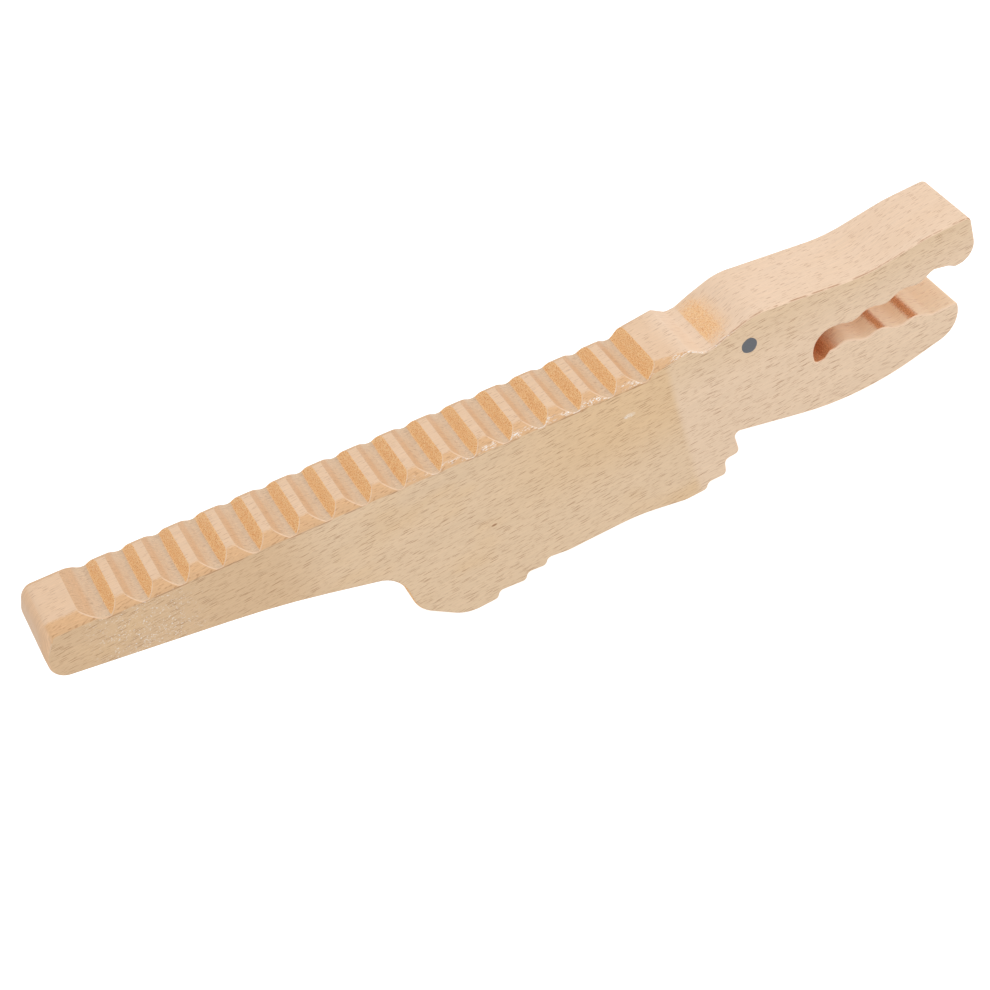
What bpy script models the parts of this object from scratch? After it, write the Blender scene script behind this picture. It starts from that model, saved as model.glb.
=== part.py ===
"""Crocodile guiro: one beech board sawn to the outline of a crocodile, scraped along its back.

Metres, +Z up. The crocodile faces +X, the board stands on edge across Y, and its two feet
rest on Z = 0. The origin is at the middle of the bounding box's bottom.
The outline is drawn in the XZ plane with X from the tail's end and Z from the ground, as
corners with a radius each. It is swept across the board with eased edges, and the grooves
are then cut across the back.
"""

import math

import bmesh
import bpy
from mathutils import Matrix, Vector

# Board
BOARD_THICKNESS = 0.0254
EDGE_EASING = 0.0007        # sanded radius of every long edge but the back's
BACK_ROUNDOVER = 0.0045     # radius routed along the back, from the tail to the shoulder
ROUNDOVER_OFFSET = 0.0002   # the router's arc is set this far outwards, so it meets the side at a crease
ROUNDOVER_STEPS = 4
ARC_STEP = math.radians(15)
RUN_SHARE = 0.98            # the two arcs at a straight run's ends take at most this share of it

# Back line and its grooves
TAIL_TOP_HEIGHT = 0.0675    # height of the back line at the tail's end
BACK_FALL = math.radians(4.5)
GROOVE_COUNT = 16
GROOVE_PITCH = 0.0112
GROOVE_DEPTH = 0.0030
GROOVE_FLOOR = 0.0018
GROOVE_REAR_RUN = 0.0037    # how far the wall on the tail's side of a groove runs along the back
GROOVE_FRONT_RUN = 0.0028   # the same for the steeper wall on the head's side
GROOVE_FLOOR_RADIUS = 0.0021
TAIL_BLOCK = 0.0141         # plain back between the tail's end and the first groove
TAIL_STEP = 0.0010          # the tail's block stands this much above the row of teeth
TAIL_WALL_RUN = 0.0061      # the first groove's longer wall, from that block to the floor
CUTTER_RISE = 0.0004        # how far the cutters stand out of the higher of the two steps
CUTTER_OVERHANG = 0.0020    # how far they stand out of the board's sides

# Shoulder and neck
SHOULDER_LENGTH = 0.0107
SHOULDER_STEP = 0.0011      # the shoulder stands this much above the row of teeth
SHOULDER_RADIUS = 0.0015
NECK_DEPTH = 0.0031         # the valley's depth under the shoulder's end
NECK_FLOOR = 0.0030
NECK_FLOOR_RADIUS = 0.0025
NECK_WALL_RUN = 0.0042
NAPE_X = 0.0072             # where the valley turns up to the brow
NAPE_RISE = 0.0019
NAPE_RADIUS = 0.012

# Head, in X from the neck's valley and in Z from the ground
HEAD_LENGTH = 0.0903        # from the middle of the neck's valley to the snout's end
BROW_X = 0.0168
BROW_HEIGHT = 0.0539
BROW_RADIUS = 0.018
SNOUT_HOLLOW_FROM_END = 0.0367
SNOUT_HOLLOW_HEIGHT = 0.0476
SNOUT_HOLLOW_RADIUS = 0.050
SNOUT_RISE_FROM_END = 0.0150
SNOUT_RISE_HEIGHT = 0.0498
SNOUT_RISE_RADIUS = 0.060
SNOUT_TOP_HEIGHT = 0.0494
SNOUT_TOP_RADIUS = 0.0022
SNOUT_LIP_HEIGHT = 0.0341
SNOUT_NOSE_RADIUS = 0.0064
SNOUT_LIP_FROM_END = 0.0077 # rear end of the lip's flat underside
SNOUT_LIP_RADIUS = 0.0016
SNOUT_LIP_STEP = 0.0021     # from there back to where the lip has risen to the front tooth's gap
SNOUT_LIP_RISE = 0.0014

# Mouth, in X back from the snout's end
MOUTH_DEPTH = 0.0585
MOUTH_FLOOR_HEIGHT = 0.0254
MOUTH_FLOOR_LENGTH = 0.0032
MOUTH_FLOOR_RADIUS = 0.0013
MOUTH_ROOF_HEIGHT = 0.0357
MOUTH_ROOF_RADIUS = 0.0072
TOOTH_WAVE = 0.00075        # height of the wavy teeth, either side of their line
UPPER_TOOTH_PITCH = 0.0117
UPPER_TEETH = 3
UPPER_TOOTH_START = 0.0088  # first gap between the upper teeth, forward of the mouth's back
UPPER_LINE_HEIGHT = 0.0342
UPPER_LINE_BEND = 2.2       # the upper line rises towards the snout by this times distance squared
LOWER_TOOTH_PITCH = 0.0119
LOWER_TEETH = 3
LOWER_TOOTH_START = 0.0055  # first gap between the lower teeth, forward of the mouth's back
LOWER_LINE_HEIGHT = 0.0281
LOWER_LINE_FALL = math.radians(9.4)
WAVE_POINTS = 6             # points in each tooth of a wave

# Lower jaw and throat
JAW_TIP_FROM_END = 0.0089
JAW_TIP_HEIGHT = 0.0211
JAW_TIP_RADIUS = 0.0014
CHIN_HEIGHT = 0.0115
CHIN_RADIUS = 0.0095
THROAT_LOW_FROM_END = 0.0470
THROAT_LOW_HEIGHT = 0.0045
THROAT_RADIUS = 0.090

# Front foot: each toe is a rounded step (X from the neck's valley, lower Z, upper Z, lean)
FRONT_TOES = (
    (-0.0115, 0.0000, 0.0022, 0.0010),
    (-0.0042, 0.0019, 0.0073, 0.0007),
    (0.0017, 0.0075, 0.0157, -0.0004),
)
FRONT_SOLE_LENGTH = 0.0072
# Rear foot: the same steps (X from the tail's end, lower Z, upper Z, lean)
REAR_TOES = (
    (0.1258, 0.0000, 0.0024, 0.0014),
    (0.1358, 0.0013, 0.0038, 0.0013),
    (0.1431, 0.0030, 0.0053, 0.0012),
)
REAR_SOLE_LENGTH = 0.0103
TOE_RADIUS = 0.0017
BELLY_REAR_HEIGHT = 0.0041
BELLY_FRONT_HEIGHT = 0.0036
BELLY_START = 0.0079        # from the rear foot's last toe to the belly
BELLY_END = 0.0160          # from the front foot's sole back to where the belly comes down
BELLY_RADIUS = 0.060
BELLY_ENDS_RADIUS = 0.009

# Heel, leg and tail underside, in X from the tail's end
HEEL_X = 0.1023
HEEL_HEIGHT = 0.0106
HEEL_RADIUS = 0.011
SOLE_RADIUS = 0.013
LEG_TOP_X = 0.1003
LEG_TOP_HEIGHT = 0.0259
LEG_TOP_RADIUS = 0.010
TAIL_BEND_X = 0.0655
TAIL_BEND_HEIGHT = 0.0375
TAIL_BEND_RADIUS = 0.250
TAIL_END_DEPTH = 0.0165     # from the back line down to the tail's lower corner
TAIL_LOW_RADIUS = 0.0058
TAIL_CROWN_DEPTH = 0.0075   # above this the tail's end leans forward
TAIL_CROWN_LEAN = 0.0024
TAIL_CROWN_RADIUS = 0.012
TAIL_TOP_RADIUS = 0.0045
TAIL_EASING_START = 0.0105  # the end's edges grow from this depth up to the back's radius
TAIL_EASING_END = 0.0025

BEECH_COLOUR = (0.73, 0.53, 0.35, 1.0)
BEECH_ROUGHNESS = 0.5


def back_height(x):
    """Height of the straight back line at x."""
    return TAIL_TOP_HEIGHT - math.tan(BACK_FALL) * x


def groove_width():
    return GROOVE_REAR_RUN + GROOVE_FLOOR + GROOVE_FRONT_RUN


def row_start():
    """X where the first groove would start if its wall were like the others."""
    return TAIL_BLOCK + TAIL_WALL_RUN - GROOVE_REAR_RUN


def shoulder_start():
    """X of the shoulder's rear edge, where the last groove's wall ends."""
    row = (GROOVE_COUNT - 1) * GROOVE_PITCH + groove_width()
    step_run = SHOULDER_STEP * GROOVE_FRONT_RUN / GROOVE_DEPTH
    return row_start() + (row + step_run) * math.cos(BACK_FALL)


def neck_x():
    """X of the middle of the neck's valley."""
    return shoulder_start() + SHOULDER_LENGTH + NECK_WALL_RUN + NECK_FLOOR / 2


def body_length():
    return neck_x() + HEAD_LENGTH


def tail_underside():
    return [
        (0.0, TAIL_TOP_HEIGHT - TAIL_END_DEPTH, TAIL_LOW_RADIUS),
        (TAIL_BEND_X, TAIL_BEND_HEIGHT, TAIL_BEND_RADIUS),
        (LEG_TOP_X, LEG_TOP_HEIGHT, LEG_TOP_RADIUS),
    ]


def toes(steps, start):
    """Corners of a foot's stepped toes, from the sole forwards."""
    corners = []
    for x, low, high, lean in steps:
        corners.append((start + x, low, TOE_RADIUS))
        corners.append((start + x + lean, high, TOE_RADIUS))
    return corners


def rear_foot():
    sole_end = REAR_TOES[0][0]
    heel = [
        (HEEL_X, HEEL_HEIGHT, HEEL_RADIUS),
        (sole_end - REAR_SOLE_LENGTH, 0.0, SOLE_RADIUS),
    ]
    return heel + toes(REAR_TOES, 0.0)


def belly():
    front_sole = neck_x() + FRONT_TOES[0][0] - FRONT_SOLE_LENGTH
    return [
        (REAR_TOES[-1][0] + BELLY_START, BELLY_REAR_HEIGHT, BELLY_ENDS_RADIUS),
        (front_sole - BELLY_END, BELLY_FRONT_HEIGHT, BELLY_RADIUS),
        (front_sole, 0.0, BELLY_ENDS_RADIUS),
    ]


def front_foot():
    return toes(FRONT_TOES, neck_x())


def lower_jaw():
    end = body_length()
    tip = end - JAW_TIP_FROM_END
    return [
        (end - THROAT_LOW_FROM_END, THROAT_LOW_HEIGHT, THROAT_RADIUS),
        (tip, CHIN_HEIGHT, CHIN_RADIUS),
        (tip, JAW_TIP_HEIGHT, JAW_TIP_RADIUS),
    ]


def tooth_wave(start, pitch, teeth, height, first_phase):
    """Points of a wavy line of teeth. height(distance) is the line that the wave follows."""
    count = int(teeth * WAVE_POINTS)
    points = []
    for i in range(count + 1):
        turn = i / WAVE_POINTS
        distance = turn * pitch
        rise = TOOTH_WAVE * math.cos(2 * math.pi * turn + first_phase)
        points.append((start + distance, height(distance) + rise, 0.0))
    return points


def lower_teeth():
    """The lower jaw's wave, listed from the jaw's tip back into the mouth."""
    start = body_length() - MOUTH_DEPTH + LOWER_TOOTH_START
    fall = math.tan(LOWER_LINE_FALL)
    wave = tooth_wave(
        start, LOWER_TOOTH_PITCH, LOWER_TEETH, lambda d: LOWER_LINE_HEIGHT - fall * d, math.pi
    )
    return wave[::-1]


def mouth_corner():
    x = body_length() - MOUTH_DEPTH
    return [
        (x + MOUTH_FLOOR_LENGTH, MOUTH_FLOOR_HEIGHT, MOUTH_FLOOR_RADIUS),
        (x, MOUTH_FLOOR_HEIGHT, MOUTH_FLOOR_RADIUS),
        (x, MOUTH_ROOF_HEIGHT, MOUTH_ROOF_RADIUS),
    ]


def upper_teeth():
    """The upper jaw's wave, from inside the mouth towards the snout."""
    start = body_length() - MOUTH_DEPTH + UPPER_TOOTH_START
    return tooth_wave(
        start,
        UPPER_TOOTH_PITCH,
        UPPER_TEETH,
        lambda d: UPPER_LINE_HEIGHT + UPPER_LINE_BEND * (d - UPPER_TOOTH_PITCH / 2) ** 2,
        0.0,
    )


def snout():
    end = body_length()
    lip = end - SNOUT_LIP_FROM_END
    return [
        (lip - SNOUT_LIP_STEP, SNOUT_LIP_HEIGHT + SNOUT_LIP_RISE, SNOUT_TOP_RADIUS),
        (lip, SNOUT_LIP_HEIGHT, SNOUT_LIP_RADIUS),
        (end, SNOUT_LIP_HEIGHT, SNOUT_NOSE_RADIUS),
        (end, SNOUT_TOP_HEIGHT, SNOUT_TOP_RADIUS),
        (end - SNOUT_RISE_FROM_END, SNOUT_RISE_HEIGHT, SNOUT_RISE_RADIUS),
        (end - SNOUT_HOLLOW_FROM_END, SNOUT_HOLLOW_HEIGHT, SNOUT_HOLLOW_RADIUS),
    ]


def neck():
    """Brow, valley and shoulder, listed from the head back to the row of teeth."""
    valley = neck_x()
    shoulder_end = shoulder_start() + SHOULDER_LENGTH
    shoulder_height = back_height(shoulder_end) + SHOULDER_STEP
    floor = shoulder_height - NECK_DEPTH
    last_groove = row_start() + (GROOVE_COUNT - 1) * GROOVE_PITCH * math.cos(BACK_FALL)
    floor_start = last_groove + GROOVE_REAR_RUN
    floor_end = floor_start + GROOVE_FLOOR
    return [
        (valley + BROW_X, BROW_HEIGHT, BROW_RADIUS),
        (valley + NAPE_X, floor + NAPE_RISE, NAPE_RADIUS),
        (valley + NECK_FLOOR / 2, floor, NECK_FLOOR_RADIUS),
        (valley - NECK_FLOOR / 2, floor, NECK_FLOOR_RADIUS),
        (shoulder_end, shoulder_height, SHOULDER_RADIUS),
        (floor_end, back_height(floor_end) + SHOULDER_STEP, 0.0),
        (floor_start, back_height(floor_start), 0.0),
    ]


def tail_end():
    """The rise to the tail's block over the first groove, and the block's rounded end."""
    floor_start = row_start() + GROOVE_REAR_RUN
    floor_end = floor_start + GROOVE_FLOOR
    return [
        (floor_end, back_height(floor_end), 0.0),
        (floor_start, back_height(floor_start) + TAIL_STEP, 0.0),
        (TAIL_CROWN_LEAN, back_height(TAIL_CROWN_LEAN) + TAIL_STEP, TAIL_TOP_RADIUS),
        (0.0, TAIL_TOP_HEIGHT - TAIL_CROWN_DEPTH, TAIL_CROWN_RADIUS),
    ]


def half_angle(before, corner, after):
    return (before - corner).angle(after - corner) / 2


def arc_points(before, corner, after, radius):
    """Points of the arc that rounds a corner between two straight runs."""
    to_before = (before - corner).normalized()
    to_after = (after - corner).normalized()
    half = half_angle(before, corner, after)
    reach = radius / math.tan(half)
    centre = corner + (to_before + to_after).normalized() * (radius / math.sin(half))
    start = corner + to_before * reach - centre
    sweep = start.angle_signed(corner + to_after * reach - centre)
    steps = max(2, math.ceil(abs(sweep) / ARC_STEP))
    return [centre + Matrix.Rotation(-sweep * i / steps, 2) @ start for i in range(steps + 1)]


def fitting_radii(corners, radii):
    """The radii, made smaller where the arcs at a run's two ends would meet."""
    count = len(corners)
    reach = []
    for i, radius in enumerate(radii):
        half = half_angle(corners[i - 1], corners[i], corners[(i + 1) % count])
        reach.append(radius / math.tan(half))
    share = [1.0] * count
    for i in range(count):
        taken = reach[i - 1] + reach[i]
        room = (corners[i] - corners[i - 1]).length * RUN_SHARE
        if taken > room:
            share[i - 1] = min(share[i - 1], room / taken)
            share[i] = min(share[i], room / taken)
    return [radius * part for radius, part in zip(radii, share)]


def outline():
    """The whole outline, anticlockwise seen from -Y, as points in X and Z."""
    named = (
        tail_underside()
        + rear_foot()
        + belly()
        + front_foot()
        + lower_jaw()
        + lower_teeth()
        + mouth_corner()
        + upper_teeth()
        + snout()
        + neck()
        + tail_end()
    )
    corners = [Vector((x, z)) for x, z, radius in named]
    radii = fitting_radii(corners, [radius for x, z, radius in named])
    points = []
    for i, corner in enumerate(corners):
        if radii[i] == 0.0:
            points.append(corner)
        else:
            after = corners[(i + 1) % len(corners)]
            points += arc_points(corners[i - 1], corner, after, radii[i])
    return points


def edge_radius(point):
    """Radius of the long edges at an outline point: wide along the back, eased elsewhere."""
    depth = back_height(point.x) - point.y
    if point.x > shoulder_start() or depth > TAIL_EASING_START:
        return EDGE_EASING
    climb = (TAIL_EASING_START - depth) / (TAIL_EASING_START - TAIL_EASING_END)
    return EDGE_EASING + (BACK_ROUNDOVER - EDGE_EASING) * min(1.0, climb)


def inward(points, i):
    """Unit inset of an outline point, so that both runs beside it move in by one."""
    before = (points[i] - points[i - 1]).normalized()
    after = (points[(i + 1) % len(points)] - points[i]).normalized()
    middle = (before + after).normalized()
    turn = math.sqrt((1 + before.dot(after)) / 2)
    return Vector((-middle.y, middle.x)) / turn


def board_mesh():
    """The outline swept across the board, with its long edges rounded."""
    points = outline()
    half = BOARD_THICKNESS / 2
    offset_share = ROUNDOVER_OFFSET / BACK_ROUNDOVER
    first_angle = math.acos(1 - offset_share)
    mesh = bmesh.new()
    rings = []
    for side in (-1, 1):
        steps = range(ROUNDOVER_STEPS + 1) if side < 0 else range(ROUNDOVER_STEPS, -1, -1)
        for step in steps:
            angle = first_angle + (math.pi / 2 - first_angle) * step / ROUNDOVER_STEPS
            ring = []
            for i, point in enumerate(points):
                radius = edge_radius(point)
                place = point + inward(points, i) * radius * (1 - math.sin(angle))
                across = side * (half + radius * (offset_share - 1 + math.cos(angle)))
                ring.append(mesh.verts.new((place.x, across, place.y)))
            rings.append(ring)
    for near, far in zip(rings, rings[1:]):
        for i in range(len(points)):
            mesh.faces.new((near[i - 1], near[i], far[i], far[i - 1]))
    mesh.faces.new(rings[0])
    mesh.faces.new(rings[-1])
    bmesh.ops.recalc_face_normals(mesh, faces=mesh.faces)
    return mesh


def groove_profile(tail_slope):
    """Section of one cutter: x runs along the back from the groove's start, y stands out of it.

    tail_slope is how far the wall on the tail's side runs for each metre that it rises.
    """
    top = max(TAIL_STEP, SHOULDER_STEP) + CUTTER_RISE
    head_slope = GROOVE_FRONT_RUN / GROOVE_DEPTH
    floor_start = Vector((GROOVE_REAR_RUN, -GROOVE_DEPTH))
    floor_end = Vector((GROOVE_REAR_RUN + GROOVE_FLOOR, -GROOVE_DEPTH))
    top_start = Vector((floor_start.x - tail_slope * (GROOVE_DEPTH + top), top))
    top_end = Vector((groove_width() + head_slope * top, top))
    points = [top_start]
    points += arc_points(top_start, floor_start, floor_end, GROOVE_FLOOR_RADIUS)
    points += arc_points(floor_start, floor_end, top_end, GROOVE_FLOOR_RADIUS)
    return points + [top_end]


def groove_cutters():
    """One prism across the board for each groove, in one mesh."""
    half = BOARD_THICKNESS / 2 + CUTTER_OVERHANG
    along = Vector((math.cos(BACK_FALL), -math.sin(BACK_FALL)))
    outwards = Vector((math.sin(BACK_FALL), math.cos(BACK_FALL)))
    start = Vector((row_start(), back_height(row_start())))
    first_slope = TAIL_WALL_RUN / (GROOVE_DEPTH + TAIL_STEP)
    other_slope = GROOVE_REAR_RUN / GROOVE_DEPTH
    mesh = bmesh.new()
    for groove in range(GROOVE_COUNT):
        ring = []
        for point in groove_profile(other_slope if groove else first_slope):
            place = start + along * (groove * GROOVE_PITCH + point.x) + outwards * point.y
            ring.append(mesh.verts.new((place.x, -half, place.y)))
        section = mesh.faces.new(ring)
        swept = bmesh.ops.extrude_face_region(mesh, geom=[section])
        moved = [item for item in swept["geom"] if isinstance(item, bmesh.types.BMVert)]
        bmesh.ops.translate(mesh, verts=moved, vec=(0.0, 2 * half, 0.0))
    bmesh.ops.recalc_face_normals(mesh, faces=mesh.faces)
    return mesh


def beech():
    material = bpy.data.materials.new("beech")
    material.use_nodes = True
    shader = material.node_tree.nodes["Principled BSDF"]
    shader.inputs["Base Color"].default_value = BEECH_COLOUR
    shader.inputs["Roughness"].default_value = BEECH_ROUGHNESS
    shader.inputs["Metallic"].default_value = 0.0
    return material


def add_object(name, mesh):
    """An object from a bmesh, moved so that the board's middle is at X = 0."""
    bmesh.ops.translate(mesh, verts=mesh.verts, vec=(-body_length() / 2, 0.0, 0.0))
    data = bpy.data.meshes.new(name)
    mesh.to_mesh(data)
    mesh.free()
    thing = bpy.data.objects.new(name, data)
    bpy.context.collection.objects.link(thing)
    return thing


def main():
    for old in list(bpy.data.objects):
        bpy.data.objects.remove(old, do_unlink=True)
    body = add_object("body", board_mesh())
    body.data.materials.append(beech())
    cutters = add_object("groove_cutters", groove_cutters())
    cutters.hide_render = True
    cutters.display_type = "WIRE"
    grooves = body.modifiers.new("grooves", "BOOLEAN")
    grooves.operation = "DIFFERENCE"
    grooves.solver = "EXACT"
    grooves.object = cutters


main()
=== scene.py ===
"""Crocodile guiro in lacquered beech, with its grooves, grain and painted eyes.

Metres, +Z up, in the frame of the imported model. The crocodile faces +X and its soles rest on
Z = 0. The outline is drawn in XZ with X from the tail's end and Z from the ground, as corners
with a radius each, and the board is that outline swept across Y.
"""

import math
import random

import bmesh
import bpy
from mathutils import Euler, Matrix, Vector


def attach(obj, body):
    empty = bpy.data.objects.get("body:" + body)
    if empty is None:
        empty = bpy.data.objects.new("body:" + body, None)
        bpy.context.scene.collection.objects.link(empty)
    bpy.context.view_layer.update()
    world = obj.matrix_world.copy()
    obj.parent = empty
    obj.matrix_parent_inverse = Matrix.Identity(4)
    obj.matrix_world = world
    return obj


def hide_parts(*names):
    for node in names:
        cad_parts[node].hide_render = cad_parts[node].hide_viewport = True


# Board
BOARD_THICKNESS = 0.0254
EDGE_EASING = 0.0007
BACK_ROUNDOVER = 0.0045
ROUNDOVER_OFFSET = 0.0002   # outward shift of the router's arc, which leaves a crease
ROUNDOVER_STEPS = 14
ARC_STEP = math.radians(3)
BACK_SPACING = 0.0002       # between the points of the back's line, fine enough for the grooves
SIDE_MARGIN = 0.0003        # flat ring round each side face, which keeps its shading flat

# Back line and its grooves
TAIL_TOP_HEIGHT = 0.0675
BACK_FALL = math.radians(4.5)
GROOVE_COUNT = 16
GROOVE_PITCH = 0.0112
GROOVE_DEPTH = 0.0030
GROOVE_FLOOR = 0.0018
GROOVE_REAR_RUN = 0.0037    # run of the wall on the tail's side of a groove
GROOVE_FRONT_RUN = 0.0028   # run of the steeper wall on the head's side
GROOVE_FLOOR_SOFTNESS = 0.0010
GROOVE_EDGE_SOFTNESS = 0.0003
SUNK_SLOPE = 0.6            # fall of a rounded edge beside a raised block
EDGE_HIGHLIGHT_DEPTH = 0.00075         # depth over which a groove's edge gets a painted highlight
TAIL_BLOCK = 0.0141
TAIL_STEP = 0.0010
TAIL_WALL_RUN = 0.0061

# Shoulder and neck
SHOULDER_LENGTH = 0.0107
SHOULDER_STEP = 0.0011
SHOULDER_RADIUS = 0.0015
NECK_DEPTH = 0.0031
NECK_FLOOR = 0.0030
NECK_FLOOR_RADIUS = 0.0025
NECK_WALL_RUN = 0.0042
NAPE_X = 0.0072
NAPE_RISE = 0.0019
NAPE_RADIUS = 0.012

# Head
HEAD_LENGTH = 0.0903
BROW_X = 0.0168
BROW_HEIGHT = 0.0539
BROW_RADIUS = 0.018
SNOUT_HOLLOW_FROM_END = 0.0367
SNOUT_HOLLOW_HEIGHT = 0.0476
SNOUT_HOLLOW_RADIUS = 0.050
SNOUT_RISE_FROM_END = 0.0150
SNOUT_RISE_HEIGHT = 0.0498
SNOUT_RISE_RADIUS = 0.060
SNOUT_TOP_HEIGHT = 0.0494
SNOUT_TOP_RADIUS = 0.0022
SNOUT_LIP_HEIGHT = 0.0341
SNOUT_NOSE_RADIUS = 0.0064
SNOUT_LIP_FROM_END = 0.0077
SNOUT_LIP_RADIUS = 0.0016
SNOUT_LIP_STEP = 0.0021
SNOUT_LIP_RISE = 0.0014

# Mouth
MOUTH_DEPTH = 0.0585
MOUTH_FLOOR_HEIGHT = 0.0254
MOUTH_FLOOR_LENGTH = 0.0032
MOUTH_FLOOR_RADIUS = 0.0013
MOUTH_ROOF_HEIGHT = 0.0357
MOUTH_ROOF_RADIUS = 0.0072
TOOTH_WAVE = 0.00075
UPPER_TOOTH_PITCH = 0.0117
UPPER_TEETH = 3
UPPER_TOOTH_START = 0.0088
UPPER_LINE_HEIGHT = 0.0342
UPPER_LINE_BEND = 2.2
LOWER_TOOTH_PITCH = 0.0119
LOWER_TEETH = 3
LOWER_TOOTH_START = 0.0055
LOWER_LINE_HEIGHT = 0.0281
LOWER_LINE_FALL = math.radians(9.4)
WAVE_POINTS = 24

# Lower jaw and throat
JAW_TIP_FROM_END = 0.0089
JAW_TIP_HEIGHT = 0.0211
JAW_TIP_RADIUS = 0.0014
CHIN_HEIGHT = 0.0115
CHIN_RADIUS = 0.0095
THROAT_LOW_FROM_END = 0.0470
THROAT_LOW_HEIGHT = 0.0045
THROAT_RADIUS = 0.090

# Feet: each toe is a rounded step (X, lower Z, upper Z, lean)
FRONT_TOES = (
    (-0.0115, 0.0000, 0.0022, 0.0010),
    (-0.0042, 0.0019, 0.0073, 0.0007),
    (0.0017, 0.0075, 0.0157, -0.0004),
)
FRONT_SOLE_LENGTH = 0.0072
REAR_TOES = (
    (0.1258, 0.0000, 0.0024, 0.0014),
    (0.1358, 0.0013, 0.0038, 0.0013),
    (0.1431, 0.0030, 0.0053, 0.0012),
)
REAR_SOLE_LENGTH = 0.0103
TOE_RADIUS = 0.0017
BELLY_REAR_HEIGHT = 0.0041
BELLY_FRONT_HEIGHT = 0.0036
BELLY_START = 0.0079
BELLY_END = 0.0160
BELLY_RADIUS = 0.060
BELLY_ENDS_RADIUS = 0.009

# Heel, leg and tail
HEEL_X = 0.1023
HEEL_HEIGHT = 0.0106
HEEL_RADIUS = 0.011
SOLE_RADIUS = 0.013
LEG_TOP_X = 0.1003
LEG_TOP_HEIGHT = 0.0259
LEG_TOP_RADIUS = 0.010
TAIL_BEND_X = 0.0655
TAIL_BEND_HEIGHT = 0.0375
TAIL_BEND_RADIUS = 0.250
TAIL_END_DEPTH = 0.0165
TAIL_LOW_RADIUS = 0.0058
TAIL_CROWN_DEPTH = 0.0075
TAIL_CROWN_LEAN = 0.0024
TAIL_CROWN_RADIUS = 0.012
TAIL_TOP_RADIUS = 0.0045
TAIL_EASING_START = 0.0105
TAIL_EASING_END = 0.0025

# Painted eyes, from the tail's end and the ground
EYE_X = 0.2223
EYE_HEIGHT = 0.0439
EYE_RADIUS = 0.00255
EYE_FILM = 0.00006          # how far the paint stands out of the wood
EYE_CROWN = 0.12            # share of the radius over which the film thins to its rim
EYE_POINTS = 72
EYE_RINGS = 5
EYE_WAVES = (2, 3, 5)
EYE_WAVE_SIZES = (0.3, 1.0)
EYE_WOBBLE = 0.05           # share of the radius that a hand-stamped spot strays by
EYE_SEED = 7

# Marks on the wood, and bands in the mouth of end grain darkened by painted shade: the bands from
# the mouth's back, the others in the model's X and Z
MOUTH_BAND_PLACES = (0.0234, 0.0343)
SCUFF_PLACE = (0.0310, 0.0410)
SPECK_PLACE = (-0.0179, 0.0272)

# Camera, fitted to the photograph
CAMERA_PLACE = (-0.12839, -0.54518, 0.50775)
CAMERA_TURN = (47.532, 14.515, -24.968)
CAMERA_LENS = 90.16
SENSOR_WIDTH = 36.0

# Studio: a place, a size in metres and watts for each light, and all of them aim at the middle
STUDIO_LIGHTS = (
    ("top_light", (0.7, 0.3, 1.4), 0.9, 3.6),
    ("front_light", (0.8, -1.3, 0.75), 0.6, 5.6),
)
WHITE = (1.0, 1.0, 1.0, 1.0)
STUDIO_STRENGTH = 0.79
FLOOR_HALF = 4.0
FLOOR_GREY = (0.60, 0.60, 0.60, 1.0)
FLOOR_ROUGHNESS = 0.9
FLOOR_GLOW = 0.80

MM = 0.001
BACK_ALONG = (math.cos(BACK_FALL), 0.0, -math.sin(BACK_FALL))
BACK_OUTWARDS = (math.sin(BACK_FALL), 0.0, math.cos(BACK_FALL))


def back_height(x):
    return TAIL_TOP_HEIGHT - math.tan(BACK_FALL) * x


def groove_width():
    return GROOVE_REAR_RUN + GROOVE_FLOOR + GROOVE_FRONT_RUN


def row_start():
    """X where the first groove would start if its wall were like the others."""
    return TAIL_BLOCK + TAIL_WALL_RUN - GROOVE_REAR_RUN


def shoulder_start():
    row = (GROOVE_COUNT - 1) * GROOVE_PITCH + groove_width()
    step_run = SHOULDER_STEP * GROOVE_FRONT_RUN / GROOVE_DEPTH
    return row_start() + (row + step_run) * math.cos(BACK_FALL)


def neck_x():
    return shoulder_start() + SHOULDER_LENGTH + NECK_WALL_RUN + NECK_FLOOR / 2


def body_length():
    return neck_x() + HEAD_LENGTH


def from_middle(x):
    """An X that is counted from the tail's end, as a place in the model."""
    return x - body_length() / 2


def row_corner():
    """Where the row of grooves starts, on the line of its crests."""
    return (from_middle(row_start()), 0.0, back_height(row_start()))


def tail_underside():
    return [
        (0.0, TAIL_TOP_HEIGHT - TAIL_END_DEPTH, TAIL_LOW_RADIUS),
        (TAIL_BEND_X, TAIL_BEND_HEIGHT, TAIL_BEND_RADIUS),
        (LEG_TOP_X, LEG_TOP_HEIGHT, LEG_TOP_RADIUS),
    ]


def toes(steps, start):
    corners = []
    for x, low, high, lean in steps:
        corners.append((start + x, low, TOE_RADIUS))
        corners.append((start + x + lean, high, TOE_RADIUS))
    return corners


def feet_and_belly():
    sole_end = REAR_TOES[0][0]
    front_sole = neck_x() + FRONT_TOES[0][0] - FRONT_SOLE_LENGTH
    heel = [
        (HEEL_X, HEEL_HEIGHT, HEEL_RADIUS),
        (sole_end - REAR_SOLE_LENGTH, 0.0, SOLE_RADIUS),
    ]
    belly = [
        (REAR_TOES[-1][0] + BELLY_START, BELLY_REAR_HEIGHT, BELLY_ENDS_RADIUS),
        (front_sole - BELLY_END, BELLY_FRONT_HEIGHT, BELLY_RADIUS),
        (front_sole, 0.0, BELLY_ENDS_RADIUS),
    ]
    return heel + toes(REAR_TOES, 0.0) + belly + toes(FRONT_TOES, neck_x())


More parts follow.
